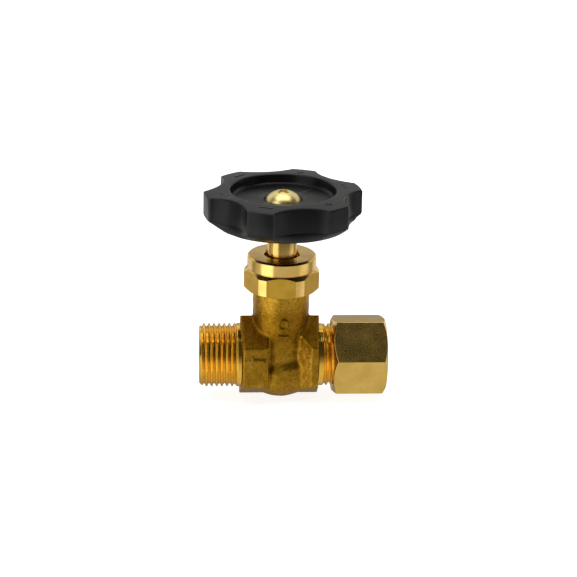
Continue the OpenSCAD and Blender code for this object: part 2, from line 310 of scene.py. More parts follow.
class Nodes:
    """A short way to build a material's nodes."""

    def __init__(self, name):
        self.material = bpy.data.materials.new(name)
        self.material.use_nodes = True
        self.tree = self.material.node_tree
        self.shader = self.tree.nodes["Principled BSDF"]
        self.where = self.add("ShaderNodeTexCoord").outputs["Object"]

    def add(self, kind, **settings):
        node = self.tree.nodes.new(kind)
        for key, value in settings.items():
            setattr(node, key, value)
        return node

    def link(self, a, b):
        self.tree.links.new(a, b)

    def noise(self, scale, detail=4, rough=0.55, where=None, distortion=0):
        node = self.add("ShaderNodeTexNoise")
        node.inputs["Scale"].default_value = scale
        node.inputs["Detail"].default_value = detail
        node.inputs["Roughness"].default_value = rough
        node.inputs["Distortion"].default_value = distortion
        self.link(where or self.where, node.inputs["Vector"])
        return node.outputs["Fac"]

    def ramp(self, value, stops):
        node = self.add("ShaderNodeValToRGB")
        elements = node.color_ramp.elements
        while len(elements) < len(stops):
            elements.new(0.5)
        for element, (place, colour) in zip(elements, stops):
            element.position = place
            element.color = (*colour, 1)
        self.link(value, node.inputs["Fac"])
        return node.outputs["Color"]

    def span(self, value, low, high, to_low, to_high):
        node = self.add("ShaderNodeMapRange")
        for key, number in (("From Min", low), ("From Max", high), ("To Min", to_low), ("To Max", to_high)):
            node.inputs[key].default_value = number
        self.link(value, node.inputs["Value"])
        return node.outputs["Result"]

    def mix(self, factor, a, b, blend="MIX"):
        node = self.add("ShaderNodeMix", data_type="RGBA", blend_type=blend)
        for socket, value in ((node.inputs["Factor"], factor), (node.inputs[6], a), (node.inputs[7], b)):
            if isinstance(value, (int, float)):
                socket.default_value = value
            elif isinstance(value, tuple):
                socket.default_value = (*value, 1)
            else:
                self.link(value, socket)
        return node.outputs[2]

    def math(self, operation, a, b=0.0):
        node = self.add("ShaderNodeMath", operation=operation)
        for socket, value in zip(node.inputs, (a, b)):
            if isinstance(value, (int, float)):
                socket.default_value = value
            else:
                self.link(value, socket)
        return node.outputs[0]

    def bump(self, height, distance, strength=1.0, normal=None):
        node = self.add("ShaderNodeBump")
        node.inputs["Distance"].default_value = distance * MM
        node.inputs["Strength"].default_value = strength
        self.link(height, node.inputs["Height"])
        if normal is not None:
            self.link(normal, node.inputs["Normal"])
        return node.outputs["Normal"]

    def pointiness(self):
        return self.add("ShaderNodeNewGeometry").outputs["Pointiness"]

    def height(self):
        node = self.add("ShaderNodeSeparateXYZ")
        self.link(self.where, node.inputs[0])
        return node.outputs["Z"]

    def stretched(self, scale):
        node = self.add("ShaderNodeMapping")
        node.inputs["Scale"].default_value = scale
        self.link(self.where, node.inputs["Vector"])
        return node.outputs["Vector"]

    def finish(self, colour, roughness, normal, **constants):
        for socket, value in (("Base Color", colour), ("Roughness", roughness), ("Normal", normal)):
            if isinstance(value, (int, float)):
                self.shader.inputs[socket].default_value = value
            elif isinstance(value, tuple):
                self.shader.inputs[socket].default_value = (*value, 1)
            elif value is not None:
                self.link(value, self.shader.inputs[socket])
        for socket, value in constants.items():
            self.shader.inputs[socket.replace("_", " ")].default_value = value
        return self.material


# How much painted shade darkens the forging, from its foot (0) to the top of its tower (1)
SHADE_BY_HEIGHT = [(0, 0.95), (0.22, 0.68), (0.5, 0.68), (0.6, 1.0), (0.77, 1.0), (1, 0.0)]
FORGING_FOOT, FORGING_TOP = -0.011, 0.019
WORN_GOLD = (0.88, 0.58, 0.10)


def forged_brass():
    """Grit-blasted forging: fine pits, dull olive gold, painted shade darkening its foot and shoulders, brighter
    edges.
    """
    n = Nodes("forged_brass")
    grit = n.noise(4400, 3, 0.6)
    blotch = n.noise(420, 5, 0.6)
    speck = n.noise(2100, 3, 0.6)
    colour = n.ramp(blotch, [(0.3, (0.50, 0.270, 0.020)), (0.55, (0.68, 0.385, 0.034)), (0.75, (0.82, 0.50, 0.070))])
    colour = n.mix(n.span(speck, 0.52, 0.70, 0, 0.75), colour, (0.16, 0.085, 0.006))
    colour = n.mix(n.span(speck, 0.46, 0.34, 0, 0.5), colour, WORN_GOLD)
    # Painted shade: the colour is darkened by height, most round the foot and on the block's upper facets, and not at
    # all at the tower's top
    height = n.span(n.height(), FORGING_FOOT, FORGING_TOP, 0, 1)
    height_shade = n.ramp(height, [(place, (level,) * 3) for place, level in SHADE_BY_HEIGHT])
    colour = n.mix(height_shade, colour, n.mix(1.0, colour, (0.56, 0.49, 0.28), "MULTIPLY"))
    edge = n.span(n.pointiness(), 0.54, 0.64, 0, 0.4)
    colour = n.mix(edge, colour, WORN_GOLD)
    roughness = n.span(grit, 0.3, 0.7, 0.38, 0.54)
    roughness = n.math("SUBTRACT", roughness, n.math("MULTIPLY", edge, 0.10))
    normal = n.bump(grit, 0.06, 0.8)
    normal = n.bump(blotch, 0.10, 0.15, normal)
    return n.finish(colour, roughness, normal, Metallic=1.0)


def turned_brass(
    name, axis, colour=(0.90, 0.60, 0.185), dark=(0.68, 0.41, 0.085), shine=0.13, lines=1.0, grain=0.0, spotted=0.5,
):
    """Bright turned brass, its fine tool lines running round the given axis (0, 1 or 2).

    dark is the colour of its smudges, shine its lowest roughness, and lines, grain and spotted are strengths.
    """
    n = Nodes(name)
    squash = [60.0, 60.0, 60.0]
    squash[axis] = 9000.0
    rings = n.noise(1.0, 2, 0.5, n.stretched(tuple(squash)))
    smudge = n.noise(260, 4, 0.6)
    spots = n.noise(1500, 2, 0.5)
    base = n.mix(n.span(smudge, 0.35, 0.75, 0, 0.7), colour, dark)
    base = n.mix(n.span(spots, 0.66, 0.76, 0, spotted), base, (0.30, 0.17, 0.04))
    roughness = n.span(smudge, 0.3, 0.8, shine, shine + 0.12)
    normal = n.bump(rings, 0.012, 0.5 * lines)
    if grain:
        grit = n.noise(2600, 3, 0.6)
        normal = n.bump(grit, 0.05 * grain, 0.6, normal)
        roughness = n.math("ADD", roughness, 0.16 * grain)
    return n.finish(base, roughness, normal, Metallic=1.0)


def black_plastic():
    """Semi-matte moulded plastic with a fine texture, faint handling marks, and a painted highlight along its edges.
    """
    n = Nodes("black_plastic")
    texture = n.noise(5200, 2, 0.5)
    haze = n.noise(170, 4, 0.6)
    flow = n.noise(60, 3, 0.5, distortion=1.5)
    colour = n.ramp(haze, [(0.3, (0.0020, 0.0020, 0.0022)), (0.7, (0.0042, 0.0042, 0.0046))])
    # Painted highlight: convex edges are painted lighter, as if they caught the light
    edge = n.span(n.pointiness(), 0.51, 0.60, 0, 0.5)
    colour = n.mix(edge, colour, (0.075, 0.075, 0.080))
    roughness = n.span(flow, 0.3, 0.7, 0.24, 0.33)
    normal = n.bump(texture, 0.02, 0.35)
    return n.finish(colour, roughness, normal, Specular_IOR_Level=0.19)


def graphite():
    """Pressed graphite packing."""
    n = Nodes("packing_graphite")
    weave = n.noise(1800, 4, 0.65)
    colour = n.ramp(weave, [(0.35, (0.02, 0.02, 0.022)), (0.7, (0.09, 0.09, 0.095))])
    normal = n.bump(weave, 0.08, 0.7)
    return n.finish(colour, n.span(weave, 0.3, 0.7, 0.4, 0.65), normal, Metallic=0.3)


def ground_steel():
    """Ground stainless steel, its lines running round the vertical axis."""
    n = Nodes("ground_steel")
    lines = n.noise(1.0, 3, 0.6, n.stretched((90.0, 90.0, 8000.0)))
    stain = n.noise(400, 4, 0.6)
    colour = n.ramp(stain, [(0.3, (0.50, 0.50, 0.49)), (0.7, (0.66, 0.66, 0.66))])
    normal = n.bump(lines, 0.01, 0.5)
    return n.finish(colour, n.span(stain, 0.3, 0.7, 0.2, 0.34), normal, Metallic=1.0)


FORGED = forged_brass()
TURNED_X = turned_brass("turned_brass_x", 0)
TURNED_Z = turned_brass("turned_brass_z", 2)
MILLED_X = turned_brass(
    "milled_brass_x", 0, (0.82, 0.55, 0.14), (0.66, 0.41, 0.08), shine=0.14, lines=0.8, grain=0.35, spotted=0.1)
MILLED_Z = turned_brass(
    "milled_brass_z", 2, (0.80, 0.48, 0.065), (0.60, 0.34, 0.03), shine=0.2, lines=0.6, grain=0.6)
THREADED = turned_brass("threaded_brass_x", 0, (0.96, 0.60, 0.10), (0.80, 0.45, 0.05), shine=0.12)
SCREW = turned_brass(
    "plated_screw", 2, (1.0, 0.84, 0.38), (0.95, 0.74, 0.27), shine=0.24, lines=0.5, grain=0.2)
PLASTIC = black_plastic()
GRAPHITE = graphite()
STEEL = ground_steel()


def dress(obj, *materials):
    obj.data.materials.clear()
    for material in materials:
        obj.data.materials.append(material)


def stands_for(obj, node, body):
    """Puts a visual piece in the place of a CAD node, on its body."""
    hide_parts(node)
    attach(obj, body)


# ---------------------------------------------------------------- forged body

BLOCK_X0, BLOCK_X1 = STEM_X - 10.6, STEM_X - 3.2
FLANGE_X1 = STEM_X + 10
FLANGE_CONE_X, FLANGE_CONE_R, FLANGE_SLOPE = STEM_X + 3.9, 5.8, 1.03
BODY_AF = 19.0
TOWER_R = 7.2
BELLY_R, BELLY_WALL = 8.9, 4.0
BELLY_DEPTH = -body_low.z
TOWER_FORGED_TOP = nut_low.z - 0.4


SEAT_R, CHAMBER_R, STEM_BORE_R = 1.6, 3.5, 4.05
PORT_R, FEED_R, INLET_BORE_R = 1.9, 1.8, 3.5


def body_bores(x, y, z, stem_r, pipe_r):
    """Distance to the drilled ways: negative inside them."""
    def along_z(radius, z0, z1):
        return np.maximum(stem_r - radius, np.maximum(z0 - z, z - z1))

    def along_x(radius, x0, x1, height=0.0):
        r = pipe_r if height == 0 else np.hypot(y, z - height)
        return np.maximum(r - radius, np.maximum(x0 - x, x - x1))

    # The slanting way from the inlet bore to the underside of the seat
    feed_from = np.array([STEM_X + 9, 0, -1.5])
    feed_to = np.array([STEM_X + 0.5, 0, -6.6])
    way = feed_to - feed_from
    t = ((x - feed_from[0]) * way[0] + (z - feed_from[2]) * way[2]) / way.dot(way)
    t = np.clip(t, 0, 1)
    feed = np.sqrt((x - feed_from[0] - way[0] * t) ** 2 + y ** 2 + (z - feed_from[2] - way[2] * t) ** 2) - FEED_R
    ways = [
        along_z(SEAT_R, -6.6, 0), along_z(CHAMBER_R, -1.2, 4), along_z(STEM_BORE_R, 2.8, 16),
        along_z(PACKING_BORE_R, 15, 30), along_x(OUTLET_BORE_R, -5, 10), along_x(PORT_R, 5, STEM_X, 0.8),
        along_x(INLET_BORE_R, STEM_X + 6.5, INLET_X), along_x(SOCKET_R, STEM_X + 13, INLET_X + 5), feed,
    ]
    return functools.reduce(np.minimum, ways)


def make_forging():
    """Block, tower, belly and flange, blended as a forging, with its bores, flow arrow and parting line."""
    step = 0.2
    low = (BLOCK_X0 - 0.9, -11.0, body_low.z - 0.8)
    high = (FLANGE_X1 + 0.9, 11.0, TOWER_FORGED_TOP + 0.9)
    x, y, z = sample_space(low, high, step)
    stem_r = np.hypot(x - STEM_X, y)
    pipe_r = np.hypot(y, z)
    flats = [abs(y * math.cos(a) + z * math.sin(a)) - BODY_AF / 2 for a in (0, math.radians(60), math.radians(120))]
    # The bottom corners are rounder than the others
    ease = np.where(z < -2, 1.1, 0.35)
    hexagon = smooth_max(smooth_max(flats[0], flats[1], ease), flats[2], ease)
    hexagon = smooth_max(hexagon, pipe_r - (BODY_AF / math.sqrt(3) - 0.1), 0.15)
    draft = 0.06 * abs(y)
    block = smooth_max(hexagon, smooth_max(BLOCK_X0 - x + draft, x - BLOCK_X1 + draft * 0.5, 0.25), 0.45)
    tower = smooth_max(stem_r - TOWER_R, np.maximum(-2 - z, z - TOWER_FORGED_TOP), 0.1)

    # The belly: a sloping ledge, a short wall, and an ellipsoid below it
    sink = np.minimum(z + BELLY_WALL, 0)
    deep = BELLY_DEPTH - BELLY_WALL
    belly_r = np.hypot(x - STEM_X, y * 1.09)
    k0 = np.sqrt((belly_r / BELLY_R) ** 2 + (sink / deep) ** 2)
    k1 = np.sqrt((belly_r / BELLY_R ** 2) ** 2 + (sink / deep ** 2) ** 2) + 1e-6
    bowl = k0 * (k0 - 1) / k1
    ledge = (stem_r - TOWER_R) * 0.80 + (z + 0.2) * 0.60 - 0.14 * (x - STEM_X)
    belly = smooth_max(bowl, ledge, 0.5)

    # The flange: the hexagon with an oval cone behind it
    oval_r = np.hypot(y, z * 0.5)
    cone = ((FLANGE_CONE_X - x) * FLANGE_SLOPE + oval_r - FLANGE_CONE_R) / math.hypot(1, FLANGE_SLOPE)
    cone = np.minimum(cone, oval_r - FLANGE_CONE_R)
    flange = smooth_max(hexagon, cone, 0.25)
    flange = smooth_max(flange, np.maximum(FLANGE_CONE_X - 3 - x, x - FLANGE_X1 + draft), 0.2)

    shape = smooth_min(tower, belly, 0.7)
    shape = smooth_min(shape, block, 0.55)
    shape = smooth_min(shape, flange, 0.8)

    # Raised flow arrow and a plain round founder's mark
    arrow_x, arrow_z = (BLOCK_X0 + BLOCK_X1) / 2, 1.8
    length, head, half_head, half_shaft = 5.6, 2.3, 1.6, 0.65
    outline = [
        (-length / 2, 0), (head - length / 2, half_head), (head - length / 2, half_shaft), (length / 2, half_shaft),
        (length / 2, -half_shaft), (head - length / 2, -half_shaft), (head - length / 2, -half_head),
    ]
    arrow = polygon_distance(x[:, 0, :] - arrow_x, z[:, 0, :] - arrow_z, outline)[:, None, :]
    arrow_body = smooth_max(np.broadcast_to(arrow, x.shape), np.maximum(-BODY_AF / 2 - 0.7 - y, y + 8.5), 0.12)
    shape = smooth_min(shape, arrow_body, 0.15)
    mark_x, mark_z, mark_r = STEM_X + 0.2, 11.0, 1.25
    mark = abs(np.hypot(x - mark_x, z - mark_z) - mark_r) - 0.32
    bar = np.maximum(abs(x - mark_x) - 1.5, abs(z - mark_z + 3.2) - 0.35)
    mark = np.minimum(mark, bar)
    mark = smooth_max(mark, np.maximum(stem_r - TOWER_R - 0.42, y + 4), 0.2)
    shape = smooth_min(shape, mark, 0.15)

    # Trimmed flash along the parting plane, and the slight unevenness of a forging
    shape = shape - 0.10 * np.clip(1.6 - abs(y) / 0.4, 0, 1)
    wave = np.sin(x * 1.9 + 0.7) * np.sin(y * 2.3 + 1.1) * np.sin(z * 1.7 + 0.3)
    shape = shape - 0.035 * wave
    shape = np.maximum(shape, np.maximum(BLOCK_X0 - x, x - FLANGE_X1))
    shape = smooth_max(shape, -body_bores(x, y, z, stem_r, pipe_r), 0.05)
    return field_mesh("body_forging", shape, low, step)


THREAD_COLUMNS, THREAD_STEP = 144, 0.05
FLANK = math.radians(27.5)
PIPE_DEPTH, FINE_DEPTH = 0.856, 0.61
FINE_FLAT, FINE_FIRST = 0.12, 0.6
END_CHAMFER = 0.1


def thread_rows(radius, depth, pitch, length, flat, first, angles, collar):
    """Radii of a thread, one row for each step along its axis, from its free end to its shoulder.

    first is the height of its first crest, and collar the length of the plain run-out at its shoulder. The thread is
    right-handed where its free end faces down its axis. Where the end faces up, the angles come in negated.
    """
    heights = np.linspace(0, length, int(length / THREAD_STEP) + 1)
    slope = 1 / math.tan(FLANK)
    rows = []
    for h in heights:
        offset = (h - first - pitch * angles / TAU + pitch / 2) % pitch - pitch / 2
        drop = smooth_max((abs(offset) - flat / 2) * slope, 0.0, depth * 0.35)
        r = radius + 0.02 - smooth_min(drop, depth, depth * 0.35)
        r = np.maximum(r, radius - max(0.0, (length - collar - h) * 0.9))
        r = np.minimum(r, radius - depth - END_CHAMFER + h * 0.92)
        rows.append((np.maximum(r, 0.5), h))
    return rows


def make_pipe_thread(name, radius, end_x, shoulder_x, collar, bore_rows):
    """A G 3/8 male thread with a true helix, from its end face to its shoulder, hollow inside."""
    angles = full_turn(THREAD_COLUMNS)
    direction = 1 if shoulder_x > end_x else -1
    length = abs(shoulder_x - end_x)
    rows = thread_rows(radius, PIPE_DEPTH, PIPE_PITCH, length, 0.22, 1.0, direction * angles, collar)
    rows = [(r, end_x + direction * h) for r, h in rows]
    return ring_solid(name, angles, rows + bore_rows, to_x)


def make_gland_thread():
    """The fine thread round the tower's top, under the packing nut, with the packing bore inside."""
    angles = full_turn(THREAD_COLUMNS)
    length = TOWER_TOP - TOWER_FORGED_TOP + 0.6
    rows = thread_rows(7.0, FINE_DEPTH, FINE_PITCH, length, FINE_FLAT, FINE_FIRST, -angles, 0.5)
    rows = [(r, TOWER_TOP - h) for r, h in rows]
    bore = PACKING_BORE_R
    rows += [(bore, TOWER_TOP - length), (bore, TOWER_TOP - 0.3), (bore + 0.3, TOWER_TOP)]
    return ring_solid("gland_thread", angles, rows, to_z)


def make_body():
    forging = make_forging()
    dress(forging, FORGED)
    outlet_root, inlet_root = BLOCK_X0 + 0.3, FLANGE_X1 - 0.3
    outlet = make_pipe_thread(
        "outlet_thread", THREAD_R, body_low.x, outlet_root, 1.0,
        [(OUTLET_BORE_R, outlet_root), (OUTLET_BORE_R, 0.35), (OUTLET_BORE_R + 0.35, 0)],
    )
    inlet = make_pipe_thread(
        "inlet_thread", INLET_CREST_R, INLET_X, inlet_root, 1.2,
        [(SOCKET_R, inlet_root), (SOCKET_R, INLET_X - 1.1), (SEAT_CONE_R, INLET_X)],
    )
    gland = make_gland_thread()
    for piece in (outlet, inlet):
        dress(piece, THREADED)
    dress(gland, TURNED_Z)
    for piece in (forging, outlet, inlet, gland):
        stands_for(piece, "valve_body", "valve_body")


# ---------------------------------------------------------------- nuts

def hexagon_radius(angles, across, corner, turn):
    """Distance to a hexagon at each angle, cut by a round of radius corner. turn is the angle of a corner."""
    off = (angles - turn) % (TAU / 6) - TAU / 12
    return np.minimum(across / 2 / np.cos(off), corner)


ON_FLAT, ON_CORNER = 14, 4


def hexagon_angles(across, corner, turn):
    """Angles round a hexagon, with one at each place where a flat meets a corner."""
    half = math.acos(min(1, across / 2 / corner)) if corner < across / math.sqrt(3) else TAU / 12
    angles = []
    for side in range(6):
        middle = turn + TAU / 12 + side * TAU / 6
        angles += list(np.linspace(middle - half, middle + half, ON_FLAT, endpoint=False))
        gap = TAU / 6 - 2 * half
        if gap > 1e-6:
            angles += list(np.linspace(middle + half, middle + half + gap, ON_CORNER, endpoint=False))
    return np.array(angles)


def make_coupling_nut():
    """Compression nut: chamfered hexagon, with its thread relief, olive cone and tube hole inside."""
    across = 19.0
    sharp = across / math.sqrt(3) + 1
    turn = math.radians(180 - 10.7)
    angles = hexagon_angles(across, sharp, turn)
    radius = hexagon_radius(angles, across, sharp, turn)
    x0, x1 = coupling_low.x, coupling_high.x
    face = across / 2 - 0.2
    rise = (radius - face) * math.tan(math.radians(30))
    hole, bore = 5.15, INLET_CREST_R + 0.05
    thread_end = STEM_X + 22.9
    rows = [
        (8.9, x0), (face, x0), (radius, x0 + rise), (radius, (x0 + x1) / 2), (radius, x1 - rise), (face, x1),
        (hole + 0.4, x1), (hole, x1 - 0.4), (hole, STEM_X + 25), (6.75, thread_end), (bore, thread_end),
        (bore, x0 + 0.5),
    ]
    nut = ring_solid("coupling_nut_machined", angles, rows, to_x)
    bevelled(nut, 0.13)
    dress(nut, MILLED_X)
    stands_for(nut, "coupling_nut", "coupling_nut")


def make_packing_nut():
    """Cap nut: milled hexagon with round corners, and a round collar, turned from one bar."""
    across, corner = 18.0, 9.75
    turn = math.radians(-4.1)
    angles = hexagon_angles(across, corner, turn)
    radius = hexagon_radius(angles, across, corner, turn)
    z0, z1 = nut_low.z, nut_high.z
    shoulder, roof = z0 + 5.75, z1 - 2.1
    collar, neck, foot = 8.9, 8.7, 8.85
    hole, bore = 4.55, 7.05
    rows = [
        (bore + 0.35, z0), (foot, z0), (radius, z0 + (radius - foot) * 0.55),
        (radius, shoulder - (radius - neck) * 0.9), (neck, shoulder), (collar, shoulder + 0.2),
        (collar, z1 - 0.45), (collar - 0.45, z1), (hole + 0.2, z1), (hole, z1 - 0.2), (hole, roof),
        (bore, roof), (bore, z0 + 0.35),
    ]
    nut = ring_solid("packing_nut_machined", angles, rows, to_z)
    bevelled(nut, 0.10)
    dress(nut, TURNED_Z, MILLED_Z)
    # Only the hexagon's six flats are milled
    for face in nut.data.polygons:
        if face.index // len(angles) == 2 and abs(face.normal.z) < 0.3:
            off = (math.atan2(face.normal.y, face.normal.x) - turn) % (TAU / 6) - TAU / 12
            face.material_index = 1 if abs(off) < 0.02 else 0
    stands_for(nut, "packing_nut", "packing_nut")


# ---------------------------------------------------------------- stem, wheel and screw

def make_stem():
    """Spindle: threaded below, plain through the packing, with a collar under its square."""
    angles = full_turn(128)
    z0 = stem_low.z
    shoulder = insert_low.z
    length = 7.8
    thread = thread_rows(4.0, FINE_DEPTH, FINE_PITCH, length, FINE_FLAT, FINE_FIRST, angles, 0.0)
    rows = [(r, z0 + h) for r, h in thread]
    off = (angles + TAU / 8) % (TAU / 4) - TAU / 8
    square = np.minimum(2.8 / np.cos(off), 3.75)
    top = stem_high.z
    rows += [(3.45, z0 + length + 0.02), (3.8, z0 + length + 0.4), (3.8, shoulder - 0.25), (3.55, shoulder - 0.02)]
    rows += [(square, shoulder), (square, top - 0.25), (square - 0.25, top), (2.05, top), (2.05, z0)]
    stem = ring_solid("stem_spindle", angles, rows, to_z)
    dress(stem, TURNED_Z)
    stands_for(stem, "stem", "stem")


LOBES = 6
LOBE_TURN = math.radians(10.5)
SCALLOP_R, SCALLOP_AT, SCALLOP_DRAFT = 11.5, 28.04, math.tan(math.radians(2))
WHEEL_R = (wheel_high.x - wheel_low.x) / 2 + 0.05
CROWN_R, CROWN_DROP = 14.6, 0.4
RIM_WALL, RIM_FOOT_R = 6.5, WHEEL_R - 3.4
HOLLOW_TOP = 41.0


def wheel_outline(angles, height, inset=0.0, outer=WHEEL_R, ease=0.3):
    """Distance from the axis to the scalloped rim at a height, moved inwards by inset, with eased lobe corners."""
    off = (angles - LOBE_TURN) % (TAU / LOBES) - TAU / LOBES / 2
    reach = SCALLOP_R + inset - (WHEEL_TOP - height) * SCALLOP_DRAFT
    inner = SCALLOP_AT * np.cos(off) - np.sqrt(np.maximum(reach ** 2 - (SCALLOP_AT * np.sin(off)) ** 2, 0))
    covered = abs(SCALLOP_AT * np.sin(off)) < reach
    inner = np.where(covered, inner, 99)
    return smooth_min(inner, np.full(angles.shape, outer - inset), ease)


def crown(radius):
    """Height of the rim's top at a radius: flat by the dish, then sloping down."""
    share = np.clip((radius - CROWN_R) / (WHEEL_R - CROWN_R), 0, 1)
    return WHEEL_TOP - CROWN_DROP * share ** 1.25


def make_handwheel():
    """Moulded wheel: scalloped rim, eased edges, dish with a recess for the screw's head, and hub underneath."""
    angles = full_turn(720)
    top, under = WHEEL_TOP, WHEEL_UNDER
    wall = top - RIM_WALL
    dish_r, dish_z = 13.5, top - 2.4
    lip, cove = 0.45, 0.9
    rows = []
    # From the underside, up the cone and the wall
    for share in (0.0, 0.04, 0.5, 0.93, 1.0):
        z = under + (wall - under) * share
        outer = RIM_FOOT_R + (WHEEL_R - RIM_FOOT_R) * share
        rows.append((wheel_outline(angles, z, 0.12 if share in (0.0, 1.0) else 0.0, outer), z))
    for z in (wall + 0.25, (wall + top) / 2):
        rows.append((wheel_outline(angles, z), z))
    # Over the rim's edge, which follows the crown
    ease = 0.5
    outer = wheel_outline(angles, top, ease)
    edge = crown(outer)
    for k in range(6):
        a = k / 5 * math.pi / 2
        rows.append((wheel_outline(angles, top, ease * (1 - math.cos(a))), edge - ease + ease * math.sin(a)))
    for share in (0.15, 0.35, 0.55, 0.75, 0.9):
        radius = outer * (1 - share) + (dish_r + 0.55) * share
        rows.append((radius, crown(radius)))
    # Into the dish over a round lip, and down to its floor in a cove
    for k in range(5):
        a = k / 4 * math.pi / 2
        rows.append((dish_r + lip * (1 - math.sin(a)), top - lip * (1 - math.cos(a))))
    for k in range(6):
        a = k / 5 * math.pi / 2
        rows.append((dish_r - 0.35 - cove * (1 - math.cos(a)), dish_z + cove * (1 - math.sin(a))))
    recess = (screw_high.x - screw_low.x) / 2 + 0.25
    rows += [(9.5, dish_z), (6.4, dish_z), (recess + 0.3, dish_z), (recess, dish_z - 0.2)]
    # Recess for the screw's head, insert hole, hub and hollow underside
    hub, hollow, insert_r = insert_low.z, HOLLOW_TOP, 5.4
    rows += [
        (recess, insert_high.z), (insert_r, insert_high.z), (insert_r, hub + 0.05), (insert_r + 0.15, hub - 0.1),
        (8.2, hub - 0.1), (8.5, hub + 0.2), (8.7, hollow - 0.5), (9.2, hollow),
        (13.2, hollow), (13.7, hollow - 0.5), (13.8, under + 0.3), (14.1, under),
    ]
    wheel = ring_solid("handwheel_moulded", angles, rows, to_z)
    dress(wheel, PLASTIC)
    stands_for(wheel, "handwheel", "stem")


def make_ribs():
    """Six ribs across the wheel's hollow underside."""
    points, faces = [], []
    half, foot, top = 0.6, 38.2, HOLLOW_TOP + 0.2
    section = [
        (-half, top), (-half + 0.1, foot + 0.15), (-half + 0.3, foot),
        (half - 0.3, foot), (half - 0.1, foot + 0.15), (half, top),
    ]
    n = len(section)
    for i in range(LOBES):
        a = LOBE_TURN + i * TAU / LOBES
        along = np.array([math.cos(a), math.sin(a), 0])
        side = np.array([-math.sin(a), math.cos(a), 0])
        base = len(points)
        for reach in (8.3, 14.0):
            for s, h in section:
                points.append(along * reach + side * s + np.array([0, 0, h]))
        for j in range(n):
            k = (j + 1) % n
            faces.append((base + j, base + k, base + n + k, base + n + j))
        faces.append(tuple(base + j for j in range(n)))
        faces.append(tuple(base + n + j for j in reversed(range(n))))
    ribs = new_object("handwheel_ribs", to_z(np.array(points)), faces, smooth=False)
    outward(ribs)
    dress(ribs, PLASTIC)
    stands_for(ribs, "handwheel", "stem")


def make_rim_marks():
    """Low raised signs on the rim in place of lettering, one a lobe: short arrows, pluses and a minus."""
    marks = []
    height, sunk, radius = 0.12, 0.3, 16.2

    def bar(u0, u1, v0, v1):
        return [(u0, v0), (u1, v0), (u1, v1), (u0, v1)]

    arrow = [bar(-1.5, 1.0, -0.14, 0.14), [(1.0, -0.6), (2.0, 0), (1.0, 0.6)]]
    plus = [bar(-0.9, 0.9, -0.15, 0.15), bar(-0.15, 0.15, 0.15, 0.9), bar(-0.15, 0.15, -0.9, -0.15)]
    minus = [bar(-0.9, 0.9, -0.15, 0.15)]
    for i, shapes in enumerate([arrow, plus, arrow, minus, arrow, plus]):
        a = LOBE_TURN + i * TAU / LOBES
        c, s = math.cos(a), math.sin(a)
        marks += [[((radius + v) * c - u * s, (radius + v) * s + u * c) for u, v in shape] for shape in shapes]
    points, faces = [], []
    for outline in marks:
        base, n = len(points), len(outline)
        for z in (-sunk, height):
            points += [(x, y, crown(math.hypot(x, y)) + z) for x, y in outline]
        faces.append(tuple(base + j for j in reversed(range(n))))
        faces.append(tuple(base + n + j for j in range(n)))
        faces += [(base + j, base + (j + 1) % n, base + n + (j + 1) % n, base + n + j) for j in range(n)]
    obj = new_object("rim_marks", to_z(np.array(points)), faces, smooth=False)
    outward(obj)
    bevelled(obj, 0.04)
    dress(obj, PLASTIC)
    stands_for(obj, "handwheel", "stem")


SCREW_WASHER = 0.5
SHANK_R, SHANK_LEN = 1.95, 4
CROSS_REACH, CROSS_DEPTH = 1.9, 1.5
SCREW_TURN = math.radians(38)


def make_screw():
    """Domed screw with a cross recess, and the top of its shank."""
    step, margin = 0.075, 0.4
    base = insert_high.z + SCREW_WASHER
    head_r = (screw_high.x - screw_low.x) / 2
    dome = screw_high.z - base
    low = (-head_r - margin, -head_r - margin, base - SHANK_LEN - 0.2)
    high = (head_r + margin, head_r + margin, base + dome + margin)
    x, y, z = sample_space(low, high, step)
    r = np.hypot(x, y)
    h = (z - base) / dome
    # A rounded cone: steep near the rim, round on top
    cone = r - head_r * np.sqrt(np.clip(1 - np.clip(h, 0, 1) ** 1.6, 0, 1))
    head = smooth_max(cone * 0.6, np.maximum(base - z, z - base - dome), 0.25)
    shank = np.maximum(r - SHANK_R, np.maximum(base - SHANK_LEN - z, z - base - 0.5))
    shape = smooth_min(head, shank, 0.1)
    # The cross recess narrows downwards, in width and in reach
    wing = 0.42 + 0.12 * np.clip((z - base - 0.6) / dome, 0, 1)
    reach = CROSS_REACH + (z - base - dome) * 0.5
    slots = np.minimum(
        np.maximum(abs(x) - wing, abs(y) - reach),
        np.maximum(abs(y) - wing, abs(x) - reach),
    )
    recess = smooth_max(slots, base + dome - CROSS_DEPTH - z, 0.15)
    shape = smooth_max(shape, -recess, 0.1)
    screw = field_mesh("wheel_screw_head", shape, low, step)
    for vertex in screw.data.vertices:
        px, py = vertex.co.x, vertex.co.y
        vertex.co.x = px * math.cos(SCREW_TURN) - py * math.sin(SCREW_TURN) + STEM_X * MM
        vertex.co.y = px * math.sin(SCREW_TURN) + py * math.cos(SCREW_TURN)
    screw.data.update()
    dress(screw, SCREW)
    stands_for(screw, "wheel_screw", "stem")


def dress_cad_nodes():
    """Materials for the hidden pieces, which keep their CAD shape."""
    looks = {
        "packing_ring_1": GRAPHITE, "packing_ring_2": GRAPHITE, "packing_ring_3": GRAPHITE,
        "packing_washer": TURNED_Z, "gland_follower": TURNED_Z, "wheel_insert": TURNED_Z, "olive": TURNED_X,
        "needle": STEEL, "needle_ring": STEEL, "wheel_washer": STEEL,
    }
    for name, material in looks.items():
        dress(frame["nodes"][name], material)


# ---------------------------------------------------------------- studio

